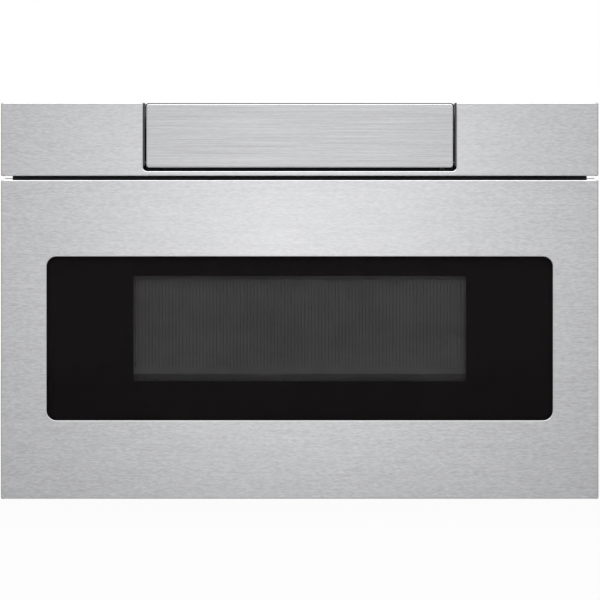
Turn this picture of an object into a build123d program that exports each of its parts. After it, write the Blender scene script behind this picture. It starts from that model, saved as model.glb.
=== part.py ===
from build123d import *
import math
import os

# Microwave drawer for a kitchen cabinet, in millimetres. Z is up and the front faces -Y.
# The origin is the centre of the footprint, level with the lower edge of the drawer front.

# Overall size
overall_width = 606.4
overall_height = 402.0
overall_depth = 590.6

# Steel front panels
panel_thickness = 37.0
skin = 1.2
panel_corner = 1.5
edge_round = 1.2
trim_height = 74.4
reveal = 4.1

# Outer case and mounting frame
front_overhang = 25.2
chassis_drop = 11.0
chassis_top_drop = 18.0
sheet = 1.2
case_flange = 14.0
frame_gap = 1.0
frame_thickness = 1.5
frame_side_overlap = 16.5
frame_overlap = 6.0
cabinet_screw_from_edge = 5.5
cabinet_screw_spacing_z = 240.0
cabinet_screw_height = 180.0
cabinet_screw_hole = 2.25
vent_slot_length = 40.0
vent_slot_width = 4.0
vent_pitch = 9.0
vents_in_row = 11
side_vents = 9
vents_below_top = 80.0

# Steel trim above the drawer
notch_width = 318.0
notch_sill = 5.0
notch_corner = 4.3
trim_bracket_width = 70.0
trim_bracket_from_notch = 20.0
trim_bracket_sheet = 2.0
end_relief = 12.3
lip_inset = 3.2
lip_thickness = 0.5
lip_drop = 1.85
lip_depth = 28.0
lip_end_depth = 4.0

# Tilting control panel behind the steel flap
flap_side_gap = 3.3
flap_bottom_gap = 3.5
surround_top_gap = 0.1
surround_above_flap = 1.25
surround_thickness = 1.5
surround_corner = 3.5
flap_corner = 3.0
flap_return = 8.0
pivot_from_face = 4.0
pivot_from_edge = 5.0
bay_above_pivot = 10.0
pin_radius = 1.5
pin_clearance = 0.06
pin_end_gap = 0.2
hinge_plate = 1.6
hinge_plate_height = 60.8
hinge_plate_set_back = 0.75
hinge_plate_corner = 1.2
housing_wall = 2.0
housing_side_gap = 1.5
housing_seat_gap = 0.2
housing_shelf = 2.5
housing_shelf_inset = 5.0
housing_rear_height = 8.0
damper_bay_width = 13.0
touch_glass_depth = 47.0
touch_glass_thickness = 3.0
touch_glass_slope = 30.0
touch_glass_set_down = 0.7
board_depth_below_glass = 8.0
board_thickness = 1.6
board_inset = 9.0
display_inset = 13.5
display_width = 94.0
sector_radius = 22.0
sector_module = 1.0
sector_width = 5.0
sector_travel = 75.0
sector_margin = 7.0
sector_stand_off = 3.0
damper_teeth = 12
damper_angle = 65.0
damper_body_radius = 7.0
damper_body_length = 7.0
damper_shaft_radius = 1.5
latch_size = (20.0, 19.0, 9.0)
latch_from_notch_end = 29.0
latch_above_pivot = 3.5

# Cooking cavity
side_bay = 53.8
headroom = 98.8
rear_bay = 116.1
under_bay = 75.0

# Drawer front
glass_width = 513.6
glass_height = 166.3
glass_bottom = 79.5
glass_corner = 10.0
glass_edge_round = 0.8
glass_thickness = 4.0
glass_overlap = 6.0
window_width = 338.0
window_bottom = 126.6
window_top = 230.0
screen_border = 12.0
screen_thickness = 0.6
frame_plate = 1.0
door_frame_set_back = 11.2
door_fit = 0.2
choke_width = 22.0
choke_sheet = 1.0
back_cover_thickness = 1.5
cover_window_corner = 14.0
inner_window_thickness = 3.0
pass_through = 0.6

# Drawer pan
pan_side_gap = 5.0
pan_rear_gap = 10.0
pan_lift = 4.0
pan_height = 86.0
pan_wall = 3.0
pan_corner = 14.0
pan_rim = 3.0
pan_runner_width = 7.0
pan_runner_inset = 6.0
pan_glass_thickness = 4.0
running_gap = 0.3

# Drawer slides
slide_height = 45.0
slide_width = 12.5
slide_length = 430.0
slide_centre_height = 52.5
slide_sheet = 1.2
slide_from_side = 13.6
slide_setback = 4.0
ball_radius = 1.5
ball_clearance = 0.05
balls_per_row = 6
ball_pitch = 36.0
middle_width = 9.0
inner_width = 6.3
arm_thickness = 3.0
arm_height = 18.0
arm_reach = 70.0
arm_foot = 22.0
slide_bracket_from_end = 64.5
slide_bracket_length = 45.0
slide_bracket_height = 22.5

# Rack and pinion drive
tooth_backlash = 0.25
pressure_angle = 20.0
addendum = 0.8
dedendum = 1.1
rack_module = 2.0
rack_teeth = 65
rack_width = 8.0
rack_top = 62.0
rack_pitch_height = 50.0
rack_teeth_ahead = 2.5
pinion_teeth = 16
pinion_width = 6.4
pinion_setback = 20.8
shaft_radius = 5.0
shaft_clearance = 0.06
shaft_end_gap = 0.5
bearing_width = 10.0
bearing_wall = 6.0
bearing_from_pinion = 5.0
drive_module = 1.5
shaft_gear_teeth = 24
motor_gear_teeth = 12
drive_gear_width = 8.0
drive_gear_position = 60.0
motor_shaft_radius = 3.0
gearbox_size = (26.0, 44.0, 46.0)
gearbox_offset = 5.0
motor_radius = 17.0
motor_length = 52.0

# Microwave source
waveguide_width = 84.0
waveguide_height = 40.0
waveguide_wall = 1.0
waveguide_ahead_of_stirrer = 35.0
magnetron_width = 90.0
magnetron_depth = 80.0
magnetron_height = 88.0
magnetron_from_back = 25.0
magnetron_fins = 9
magnetron_plate = 3.0
magnetron_body_radius = 20.0
fin_thickness = 1.0
antenna_radius = 7.0
antenna_height = 20.0
stirrer_behind_centre = 60.4
stirrer_radius = 68.0
stirrer_vanes = 4
stirrer_hub_radius = 17.0
vane_length = 54.0
vane_width = 27.0
vane_corner = 5.5
stirrer_thickness = 2.0
stirrer_shaft_radius = 3.0
stirrer_cover_size = 190.0
stirrer_cover_depth = 16.0
stirrer_cover_wall = 2.0
stirrer_motor_radius = 24.0
stirrer_motor_height = 18.0
stirrer_motor_ear_span = 65.0
stirrer_motor_ear_width = 12.0
feed_hole_radius = 25.0

# Power supply, cooling and small parts
transformer_width = 100.0
transformer_height = 84.0
transformer_depth = 60.0
transformer_from_capacitor = 85.0
transformer_from_back = 51.1
transformer_leg = 17.0
transformer_window = 16.0
coil_gap = 0.3
coil_overhang = 15.0
coil_corner = 7.5
capacitor_from_side = 51.8
capacitor_width = 56.0
capacitor_depth = 34.0
capacitor_height = 100.0
terminal_radius = 3.0
terminal_height = 9.0
terminal_spacing = 22.0
fan_size = 120.0
fan_depth = 38.0
fan_from_side = 51.8
fan_from_back = 28.1
fan_blade_radius = 53.0
fan_tip_gap = 2.5
fan_hub_radius = 20.0
fan_blades = 7
fan_blade_twist = 32.0
fan_blade_thickness = 2.0
fan_shaft_radius = 2.5
fan_blade_root = 16.0
fan_blade_chord = 17.0
fan_shaft_depth = 9.5
fan_motor_length = 17.0
fan_strut = 6.0
board_size = (130.0, 160.0)
board_from_side = 86.8
board_ahead_of_centre = 69.6
standoff_height = 12.0
standoff_radius = 4.0
standoff_from_edge = 8.0
relay_size = (21.0, 20.0, 17.0)
relay_pitch = 32.0
relays_in_row = 3
lamp_ahead_of_centre = 19.6
lamp_below_ceiling = 54.0
lamp_radius = 17.0
lamp_length = 30.0
lamp_bulb_radius = 5.6
lamp_hole_pitch = 5.6
lamp_hole_radius = 1.8
lamp_holes_in_row = 4
switch_from_cavity = 13.0
switch_bracket_size = (9.0, 42.0, 40.0)
switch_below_ceiling = 69.0
switch_size = (10.0, 27.0, 15.0)
switch_gap = 4.0
switch_pitch = 17.0
latch_tab_size = (2.5, 8.0)
latch_tab_reach = 18.0
latch_tab_foot = 10.0
tab_gap = 0.5
plunger_length = 2.5
plunger_radius = 1.5
plunger_from_front = 9.0
gland_radius = 10.9
gland_flange_radius = 15.0
gland_flange = 3.0
gland_inner_flange = 2.0
gland_bore = 4.5
gland_from_side = 46.8
gland_below_roof = 52.8
case_screw_radius = 1.9
case_screw_head_radius = 4.0
case_screw_head = 2.0
case_screw_length = 7.0
case_screw_clearance = 0.1
case_screw_from_edge = 7.5
case_screw_from_side = 36.8

# Places that follow from the sizes above
front_y = -overall_depth / 2
back_y = overall_depth / 2
half_width = overall_width / 2
drawer_front_height = overall_height - trim_height - reveal
panel_back = front_y + panel_thickness
frame_front = panel_back + frame_gap
frame_back = frame_front + frame_thickness
chassis_back = back_y - gland_flange
chassis_half = half_width - front_overhang
frame_half = chassis_half + frame_side_overlap
case_inner_x = chassis_half - sheet
case_inner_back = chassis_back - sheet
base_z = chassis_drop
floor_z = base_z + sheet
top_z = overall_height - chassis_top_drop
roof_z = top_z - sheet

trim_bottom = drawer_front_height + reveal
sill_z = trim_bottom + notch_sill
flap_half = notch_width / 2 - flap_side_gap
flap_bottom = sill_z + flap_bottom_gap
surround_top = overall_height - surround_top_gap
flap_top = surround_top - surround_above_flap
pivot_y = front_y + pivot_from_face
pivot_z = flap_bottom + pivot_from_edge
housing_half = flap_half - skin - housing_side_gap
housing_right = housing_half - damper_bay_width
surround_front = front_y + flap_return + housing_seat_gap
surround_back = surround_front + surround_thickness
surround_half = notch_width / 2 - hinge_plate - running_gap

cavity_half = case_inner_x - side_bay
cavity_back = case_inner_back - rear_bay
cavity_middle_y = (frame_back + cavity_back) / 2
cavity_floor_z = base_z + under_bay
cavity_ceiling_z = roof_z - headroom
cavity_top = cavity_ceiling_z + sheet

door_plate_front = front_y + door_frame_set_back
door_plate_back = door_plate_front + frame_plate
back_cover_front = panel_back - back_cover_thickness
choke_inner_x = cavity_half - pan_rim
choke_bottom = cavity_floor_z + pan_rim
choke_top = cavity_ceiling_z - pan_rim

pan_half = cavity_half - pan_side_gap
pan_bottom = cavity_floor_z + pan_lift
pan_top = pan_bottom + pan_height
pan_back = cavity_back - pan_rear_gap

slide_outside = case_inner_x - slide_from_side
slide_inside = slide_outside - slide_width
slide_front = frame_back + slide_setback
outer_half = slide_height / 2
middle_half = outer_half - slide_sheet - 2 * (ball_radius + ball_clearance)
inner_half = middle_half - slide_sheet - 2 * (ball_radius + ball_clearance)
inner_web_x = slide_inside + slide_sheet

rack_pitch = math.pi * rack_module
rack_inside = slide_inside - rack_width
pinion_radius = rack_module * pinion_teeth / 2
pinion_y = frame_back + pinion_setback
shaft_z = rack_pitch_height - pinion_radius
pinion_x = rack_inside + (rack_width - pinion_width) / 2
shaft_end = slide_inside - shaft_end_gap
motor_gear_y = pinion_y + drive_module * (shaft_gear_teeth + motor_gear_teeth) / 2

stirrer_y = cavity_middle_y + stirrer_behind_centre
waveguide_front = stirrer_y - waveguide_ahead_of_stirrer
waveguide_top = cavity_top + waveguide_height
magnetron_back = case_inner_back - magnetron_from_back
magnetron_y = magnetron_back - magnetron_depth / 2

capacitor_centre = (capacitor_from_side - case_inner_x, case_inner_back - transformer_from_back)
transformer_centre = (capacitor_centre[0] + transformer_from_capacitor, capacitor_centre[1])
fan_centre_x = case_inner_x - fan_from_side - fan_size / 2
fan_centre_z = floor_z + fan_size / 2
fan_front = case_inner_back - fan_from_back - fan_depth
fan_motor_front = fan_front + fan_depth - fan_motor_length
board_centre = (board_from_side - case_inner_x, cavity_middle_y - board_ahead_of_centre)
lamp_centre = (cavity_middle_y - lamp_ahead_of_centre, cavity_ceiling_z - lamp_below_ceiling)
gland_centre = (gland_from_side - case_inner_x, roof_z - gland_below_roof)
switch_bracket_x = cavity_half + switch_from_cavity
switch_bracket_bottom = cavity_ceiling_z - switch_below_ceiling
case_screw_pitch = case_inner_x - case_screw_from_side


def centred(width, at=0.0):
    """The two limits of a width centred on a place."""
    return (at - width / 2, at + width / 2)


def block(x, y, z):
    """A box between two limits on each axis."""
    size = Box(x[1] - x[0], y[1] - y[0], z[1] - z[0], align=(Align.MIN, Align.MIN, Align.MIN))
    return Pos(x[0], y[0], z[0]) * size


def front_slab(outline, y):
    """A front-view outline, X across and Z up, between two depths."""
    return extrude(Plane.XZ.offset(-y[0]) * outline, y[1] - y[0], dir=(0, 1, 0))


def side_slab(outline, x):
    """A side-view outline, Y across and Z up, between two X places."""
    return extrude(Plane.YZ.offset(x[0]) * outline, x[1] - x[0], dir=(1, 0, 0))


def plan_slab(outline, z):
    """A plan-view outline, X across and Y up, between two heights."""
    return extrude(Plane.XY.offset(z[0]) * outline, z[1] - z[0], dir=(0, 0, 1))


def rod_x(radius, x, y, z):
    return side_slab(Pos(y, z) * Circle(radius), x)


def rod_y(radius, y, x, z):
    return front_slab(Pos(x, z) * Circle(radius), y)


def rod_z(radius, z, x, y):
    return plan_slab(Pos(x, y) * Circle(radius), z)


def rectangle(across, up, corner=0.0):
    """A flat rectangle between two limits each way, with rounded corners if asked for."""
    width = across[1] - across[0]
    height = up[1] - up[0]
    shape = RectangleRounded(width, height, corner) if corner else Rectangle(width, height)
    return Pos((across[0] + across[1]) / 2, (up[0] + up[1]) / 2) * shape


def both_sides(piece):
    """A piece and its mirror image across the unit's middle plane."""
    return piece + mirror(piece, about=Plane.YZ)


def gear_outline(module, teeth, turn):
    """A spur gear with straight facets along its involutes and one tooth at the given turn."""
    pitch = module * teeth / 2
    base = pitch * math.cos(math.radians(pressure_angle))
    tip = pitch + addendum * module
    root = pitch - dedendum * module
    half_tooth = math.pi / (2 * teeth) - tooth_backlash / (2 * pitch)
    pitch_roll = math.tan(math.radians(pressure_angle)) - math.radians(pressure_angle)

    def flank(radius):
        angle = math.acos(min(1.0, base / radius))
        return half_tooth + pitch_roll - (math.tan(angle) - angle)

    start = max(base, root)
    steps = [start + (tip - start) * i / 4 for i in range(5)]
    foot = [(root, flank(base))] if root < base else []
    side = foot + [(radius, flank(radius)) for radius in steps]
    points = []
    for tooth in range(teeth):
        centre = math.radians(turn) + 2 * math.pi * tooth / teeth
        for radius, angle in side:
            points.append((radius * math.cos(centre - angle), radius * math.sin(centre - angle)))
        for radius, angle in reversed(side):
            points.append((radius * math.cos(centre + angle), radius * math.sin(centre + angle)))
    return make_face(Polyline(points, close=True))


def case_screw_places(flange_z):
    return [(x, flange_z) for x in (-case_screw_pitch, 0.0, case_screw_pitch)]


def screw_holes(flange_z, y):
    """Clearance holes for one row of rear case screws."""
    radius = case_screw_radius + case_screw_clearance
    return [rod_y(radius, y, x, z) for x, z in case_screw_places(flange_z)]


lower_screw_z = base_z + case_screw_from_edge
upper_screw_z = top_z - case_screw_from_edge


def case_tray(z, hollow_z, screw_z):
    """A shallow case panel with side and rear flanges, drilled for the rear screws."""
    outer = block((-case_inner_x, case_inner_x), (frame_back, case_inner_back), z)
    inner = block(
        (-case_inner_x + sheet, case_inner_x - sheet),
        (frame_back - sheet, case_inner_back - sheet),
        hollow_z,
    )
    return outer - inner - screw_holes(screw_z, (case_inner_back - 2 * sheet, chassis_back))


def base_pan():
    """Floor of the case, with upturned side and rear flanges."""
    rim = base_z + case_flange
    return case_tray((base_z, rim), (floor_z, rim + sheet), lower_screw_z)


def top_cover():
    """Roof of the case, with downturned side and rear flanges."""
    rim = top_z - case_flange
    return case_tray((rim, top_z), (rim - sheet, roof_z), upper_screw_z)


def side_panels():
    """Left and right walls of the case, each with a group of vents."""
    wall = block((case_inner_x, chassis_half), (frame_back, case_inner_back), (base_z, top_z))
    slot = Rot(0, 0, 90) * SlotOverall(vent_slot_length, vent_slot_width)
    centre = Pos((cavity_back + case_inner_back) / 2, top_z - vents_below_top)
    for spot in GridLocations(vent_pitch, vent_slot_length, side_vents, 1):
        wall -= side_slab(centre * spot * slot, (case_inner_x - sheet, chassis_half + sheet))
    return both_sides(wall)


def rear_panel():
    """Back of the case, with exhaust vents, the cord outlet's hole and its screw holes."""
    through = (case_inner_back - sheet, chassis_back + sheet)
    wall = block((-chassis_half, chassis_half), (case_inner_back, chassis_back), (base_z, top_z))
    wall -= rod_y(gland_radius + door_fit, through, *gland_centre)
    wall -= screw_holes(lower_screw_z, through)
    wall -= screw_holes(upper_screw_z, through)
    slot = Rot(0, 0, 90) * SlotOverall(vent_slot_length, vent_slot_width)
    groups = [(fan_centre_x, fan_centre_z, 2), (0.0, top_z - vents_below_top, 1)]
    for x, z, rows in groups:
        for spot in GridLocations(vent_pitch, vent_slot_length + vent_pitch, vents_in_row, rows):
            wall -= front_slab(Pos(x, z) * spot * slot, through)
    return wall


def front_frame():
    """Black mounting frame that overlaps the kitchen cabinet, open for the cavity and moving parts."""
    span = (frame_front, frame_back)
    through = (frame_front - sheet, frame_back + sheet)
    outline = rectangle((-frame_half, frame_half), (base_z - frame_overlap, top_z + frame_overlap))
    frame = front_slab(outline, span)
    mouth = rectangle((-cavity_half, cavity_half), (cavity_floor_z, cavity_ceiling_z))
    frame -= front_slab(mouth, through)
    bay = rectangle(centred(notch_width), (pivot_z + bay_above_pivot, roof_z))
    frame -= front_slab(bay, through)
    slide_slot = rectangle(
        (rack_inside - frame_gap, slide_outside),
        centred(slide_height, slide_centre_height),
    )
    frame -= both_sides(front_slab(slide_slot, through))
    tab_slot = rectangle(
        (tab_inner_x - frame_gap, tab_inner_x + latch_tab_size[0] + frame_gap),
        centred(latch_tab_size[1] + 2 * frame_gap, tab_centre_z),
    )
    frame -= both_sides(front_slab(tab_slot, through))
    screw_spacing_x = 2 * (frame_half - cabinet_screw_from_edge)
    for spot in GridLocations(screw_spacing_x, cabinet_screw_spacing_z, 2, 2):
        hole = Pos(0, cabinet_screw_height) * spot * Circle(cabinet_screw_hole)
        frame -= front_slab(hole, through)
    return frame


def trim_outline():
    """Front outline of the upper trim: a band with a notch for the flap."""
    band = rectangle((-half_width, half_width), (trim_bottom, overall_height))
    band = fillet(band.vertices(), panel_corner)
    above = overall_height + 2 * notch_corner
    return band - rectangle(centred(notch_width), (sill_z, above), notch_corner)


def steel_shell(outline, depth):
    """A steel front with its edges folded back all round, open at the rear."""
    shell = front_slab(outline, (front_y, front_y + depth))
    edges = shell.faces().sort_by(Axis.Y)[0].outer_wire().edges()
    shell = fillet(edges, edge_round)
    inside = offset(outline, -skin, kind=Kind.INTERSECTION)
    return shell - front_slab(inside, (front_y + skin, front_y + depth + skin))


def upper_trim():
    """Steel trim above the drawer; its bottom fold is cut away at both ends."""
    relief = block(
        (half_width - end_relief, half_width + skin),
        (front_y + edge_round, front_y + panel_thickness + skin),
        (trim_bottom - skin, trim_bottom + skin),
    )
    return steel_shell(trim_outline(), panel_thickness) - both_sides(relief)


def trim_brackets():
    """Channel brackets that carry the trim on the mounting frame."""
    left = notch_width / 2 + trim_bracket_from_notch
    outer = block(
        (left, left + trim_bracket_width),
        (front_y + skin, frame_front),
        (trim_bottom + skin, top_z + frame_overlap),
    )
    inner = block(
        (left - skin, left + trim_bracket_width + skin),
        (front_y + skin + trim_bracket_sheet, frame_front + skin),
        (trim_bottom + skin + trim_bracket_sheet, top_z + frame_overlap - trim_bracket_sheet),
    )
    return both_sides(outer - inner)


def trim_lip():
    """Thin black lip in the gap between the trim and the drawer."""
    top = trim_bottom - lip_drop
    z = (top - lip_thickness, top)
    front = frame_front - lip_depth
    shelf = block(centred(2 * (half_width - end_relief)), (front, frame_front), z)
    return shelf + block(centred(2 * (half_width - lip_inset)), (front, front + lip_end_depth), z)


def hinge_brackets():
    """Plates inside the trim's notch that carry the control panel's pins."""
    inside = notch_width / 2 - hinge_plate
    bottom = sill_z + notch_corner + housing_seat_gap
    front = front_y + skin + hinge_plate_set_back
    top = pivot_z + hinge_plate_height
    outline = rectangle((front, frame_front), (bottom, top), hinge_plate_corner)
    plate = side_slab(outline, (inside, notch_width / 2))
    plate -= rod_x(pin_radius + pin_clearance, (inside - skin, half_width), pivot_y, pivot_z)
    return both_sides(plate)


damper_gap = damper_teeth * sector_module / 2 + sector_radius
damper_y = pivot_y + damper_gap * math.cos(math.radians(damper_angle))
damper_z = pivot_z + damper_gap * math.sin(math.radians(damper_angle))
damper_face_x = notch_width / 2 - hinge_plate - damper_body_length
sector_x = housing_right + sector_stand_off
sector_hub_radius = pivot_from_face - skin - housing_seat_gap


def tilt_damper():
    """Rotary damper body on the right hinge bracket."""
    end = damper_face_x + damper_body_length
    body = rod_x(damper_body_radius, (damper_face_x, end), damper_y, damper_z)
    bore = (damper_face_x - skin, end - skin)
    return body - rod_x(damper_shaft_radius + pin_clearance, bore, damper_y, damper_z)


def damper_gear():
    """Small gear and shaft of the damper, in mesh with the toothed sector."""
    turn = damper_angle + 180 - 180 / damper_teeth
    outline = gear_outline(sector_module, damper_teeth, turn)
    gear = side_slab(Pos(damper_y, damper_z) * outline, (sector_x, sector_x + sector_width + running_gap))
    shaft_span = (sector_x, damper_face_x + damper_body_length - skin - running_gap)
    return gear + rod_x(damper_shaft_radius, shaft_span, damper_y, damper_z)


def flap_latch():
    """Magnetic catch for the control panel, on the mounting frame."""
    width, depth, height = latch_size
    centre = latch_from_notch_end - notch_width / 2
    top = pivot_z + latch_above_pivot
    return block(centred(width, centre), (frame_front - depth, frame_front), (top - height, top))


def flap_fascia():
    """Steel flap with folded edges; its side returns are drilled for the pins."""
    outline = rectangle((-flap_half, flap_half), (flap_bottom, flap_top), flap_corner)
    shell = steel_shell(outline, flap_return)
    return shell - rod_x(pin_radius + housing_seat_gap, (-half_width, half_width), pivot_y, pivot_z)


def glass_line(distance, depth):
    """A point at a distance down the touch glass and a depth below its face, in side view."""
    slope = math.radians(touch_glass_slope)
    start_y = front_y + skin + housing_seat_gap + touch_glass_thickness * math.sin(slope)
    start_z = flap_top - skin - touch_glass_set_down
    y = start_y + distance * math.cos(slope) - depth * math.sin(slope)
    z = start_z - distance * math.sin(slope) - depth * math.cos(slope)
    return (y, z)


def glass_slab(along, depth, x):
    """A slab in line with the touch glass, by distances down its slope and depths below its face."""
    corners = [(along[0], depth[0]), (along[1], depth[0]), (along[1], depth[1]), (along[0], depth[1])]
    outline = make_face(Polyline([glass_line(*corner) for corner in corners], close=True))
    return side_slab(outline, x)


def slope_height(y, depth):
    """Height of the surface at a depth below the touch glass's face, seen at one Y place."""
    start = glass_line(0.0, depth)
    return start[1] - (y - start[0]) * math.tan(math.radians(touch_glass_slope))


def wedge_outline(margin):
    """Side view of the control housing: a wedge under the sloping touch glass."""
    front = front_y + skin + margin
    rear = glass_line(touch_glass_depth + touch_glass_thickness, 0.0)[0] - margin
    front_top = slope_height(front, touch_glass_thickness)
    rear_top = slope_height(rear, touch_glass_thickness)
    bottom = flap_bottom + skin + housing_seat_gap + margin
    heel = pivot_y + pin_radius + margin / 2
    rear_bottom = rear_top - housing_rear_height + margin
    points = [(front, bottom), (heel, bottom), (rear, rear_bottom), (rear, rear_top), (front, front_top)]
    return make_face(Polyline(points, close=True))


def flap_surround():
    """Lip behind the flap that shows as a dark line round its upper edge."""
    bottom = damper_z + damper_body_radius + frame_gap
    outline = rectangle((-surround_half, surround_half), (bottom, surround_top), surround_corner)
    over_glass = slope_height(surround_front, 0.0) + housing_seat_gap
    under_glass = slope_height(surround_back, touch_glass_thickness) - housing_seat_gap
    outline -= rectangle(centred(2 * (housing_half + housing_seat_gap)), (under_glass, over_glass))
    outline -= rectangle(centred(2 * (housing_half - housing_wall)), (bottom - sheet, under_glass))
    return front_slab(outline, (surround_front, surround_back))


def control_housing():
    """Black moulded wedge behind the flap, open upwards for the control board."""
    outer = side_slab(wedge_outline(0.0), (-housing_half, housing_right))
    hollow = wedge_outline(housing_wall) + Pos(0, housing_wall * 2) * wedge_outline(housing_wall)
    outer -= side_slab(hollow, (-housing_half + housing_wall, housing_right - housing_wall))
    shelf_depth = (touch_glass_thickness, touch_glass_thickness + housing_shelf)
    shelf = glass_slab((housing_shelf_inset, touch_glass_depth), shelf_depth, (housing_right, housing_half))
    return outer + shelf + flap_surround()


def touch_glass():
    """Black glass of the touch controls, which slopes down to the rear when shut."""
    return glass_slab((0.0, touch_glass_depth), (0.0, touch_glass_thickness), (-housing_half, housing_half))


def control_board():
    """Circuit board on ribs under the touch glass, with the display on its upper face."""
    plate = (board_depth_below_glass, board_depth_below_glass + board_thickness)
    inner = (-housing_half + housing_wall, housing_right - housing_wall)
    board = glass_slab((board_inset, touch_glass_depth - board_inset), plate, inner)
    shown = (touch_glass_thickness, board_depth_below_glass)
    along = (display_inset, touch_glass_depth - display_inset)
    return board + glass_slab(along, shown, centred(display_width))


def hinge_pins():
    """Two pins on which the control panel tilts."""
    end = notch_width / 2 - pin_end_gap
    left = rod_x(pin_radius, (-end, -housing_half), pivot_y, pivot_z)
    right = rod_x(pin_radius, (housing_right, end), pivot_y, pivot_z)
    return left + right


def damper_sector():
    """Toothed sector on the control panel's right pin."""
    teeth = round(2 * sector_radius / sector_module)
    wedge_radius = 2 * sector_radius
    first = math.radians(damper_angle - sector_travel - sector_margin)
    last = math.radians(damper_angle + sector_margin)
    angles = (first, (first + last) / 2, last)
    arc = [(wedge_radius * math.cos(angle), wedge_radius * math.sin(angle)) for angle in angles]
    wedge = make_face(Polyline([(0, 0)] + arc, close=True))
    outline = gear_outline(sector_module, teeth, damper_angle) & wedge
    outline = outline + Circle(sector_hub_radius)
    outline = outline - Circle(pin_radius)
    sector = side_slab(Pos(pivot_y, pivot_z) * outline, (sector_x, sector_x + sector_width))
    spacer = Circle(sector_hub_radius) - Circle(pin_radius)
    return sector + side_slab(Pos(pivot_y, pivot_z) * spacer, (housing_right, sector_x))


def cavity_floor():
    span = (cavity_floor_z - sheet, cavity_floor_z)
    return block((-cavity_half, cavity_half), (frame_back, cavity_back), span)


def cavity_ceiling():
    """Cavity roof, with the opening that feeds the microwaves in."""
    roof = block((-cavity_half, cavity_half), (frame_back, cavity_back), (cavity_ceiling_z, cavity_top))
    return roof - rod_z(feed_hole_radius, (cavity_ceiling_z - sheet, cavity_top + sheet), 0, stirrer_y)


def cavity_sides():
    """Cavity side walls; small holes in the right one let the lamp's light in."""
    span = (cavity_floor_z - sheet, cavity_top)
    wall = block((cavity_half, cavity_half + sheet), (frame_back, cavity_back), span)
    left = mirror(wall, about=Plane.YZ)
    through = (cavity_half - sheet, cavity_half + 2 * sheet)
    for spot in GridLocations(lamp_hole_pitch, lamp_hole_pitch, lamp_holes_in_row, lamp_holes_in_row):
        wall -= side_slab(Pos(*lamp_centre) * spot * Circle(lamp_hole_radius), through)
    return left + wall


def cavity_rear():
    """Cavity back wall, which runs down to the case floor and carries the cavity."""
    reach = cavity_half + sheet
    return block((-reach, reach), (cavity_back, cavity_back + sheet), (floor_z, cavity_top))


def waveguide():
    """Rectangular duct from the magnetron to the feed opening above the cavity."""
    half = waveguide_width / 2
    wall = waveguide_wall
    duct = block((-half, half), (waveguide_front, magnetron_back), (cavity_top, waveguide_top))
    duct -= block(
        (-half + wall, half - wall),
        (waveguide_front + wall, magnetron_back - wall),
        (cavity_top + wall, waveguide_top - wall),
    )
    duct -= rod_z(feed_hole_radius, (cavity_top - wall, cavity_top + 2 * wall), 0, stirrer_y)
    top_hole = stirrer_shaft_radius + frame_gap
    duct -= rod_z(top_hole, (waveguide_top - 2 * wall, waveguide_top + wall), 0, stirrer_y)
    duct -= rod_z(2 * antenna_radius, (cavity_top - wall, cavity_top + 2 * wall), 0, magnetron_y)
    return duct


def magnetron():
    """Magnetron with its yoke, cooling fins and antenna."""
    half = magnetron_width / 2
    front = magnetron_back - magnetron_depth
    low = cavity_top - magnetron_height
    plate = magnetron_plate
    body = block((-half, half), (front, magnetron_back), (low, cavity_top))
    body -= block(
        (-half + plate, half - plate),
        (front - plate, magnetron_back + plate),
        (low + plate, cavity_top - plate),
    )
    body += rod_z(magnetron_body_radius, (low, cavity_top), 0, magnetron_y)
    spacing = (magnetron_height - 2 * plate) / (magnetron_fins + 1)
    for i in range(magnetron_fins):
        z = low + plate + spacing * (i + 1)
        body += block((-half, half), (front + plate, magnetron_back - plate), (z, z + fin_thickness))
    return body + rod_z(antenna_radius, (cavity_top - plate, cavity_top + antenna_height), 0, magnetron_y)


def stirrer_cover():
    """Shallow tray under the stirrer that keeps food splashes off it."""
    wall = stirrer_cover_wall
    low = cavity_ceiling_z - stirrer_cover_depth
    outline = rectangle(centred(stirrer_cover_size), centred(stirrer_cover_size, stirrer_y), pan_corner)
    hollow = stirrer_cover_size - 2 * wall
    inside = rectangle(centred(hollow), centred(hollow, stirrer_y), pan_corner - wall)
    tray = plan_slab(outline, (low, cavity_ceiling_z))
    return tray - plan_slab(inside, (low + wall, cavity_ceiling_z + wall))


stirrer_z = cavity_ceiling_z - stirrer_cover_depth / 2
motor_shaft_depth = stirrer_motor_height / 2


def stirrer_blade():
    """Mode stirrer: flat vanes on a hub, with a shaft up to its motor."""
    outline = Circle(stirrer_hub_radius)
    vane = Pos(stirrer_radius - vane_length / 2, 0) * RectangleRounded(vane_length, vane_width, vane_corner)
    for i in range(stirrer_vanes):
        outline += Rot(0, 0, i * 360 / stirrer_vanes) * vane
    blade = plan_slab(Pos(0, stirrer_y) * outline, (stirrer_z, stirrer_z + stirrer_thickness))
    shaft_top = waveguide_top + motor_shaft_depth - running_gap
    return blade + rod_z(stirrer_shaft_radius, (stirrer_z, shaft_top), 0, stirrer_y)


def stirrer_motor():
    """Slow motor on top of the waveguide that turns the stirrer."""
    top = waveguide_top + stirrer_motor_height
    body = rod_z(stirrer_motor_radius, (waveguide_top, top), 0, stirrer_y)
    ears = SlotOverall(stirrer_motor_ear_span, stirrer_motor_ear_width)
    body += plan_slab(Pos(0, stirrer_y) * ears, (waveguide_top, waveguide_top + sheet))
    bore = (waveguide_top - sheet, waveguide_top + motor_shaft_depth)
    return body - rod_z(stirrer_shaft_radius + shaft_clearance, bore, 0, stirrer_y)


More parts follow.
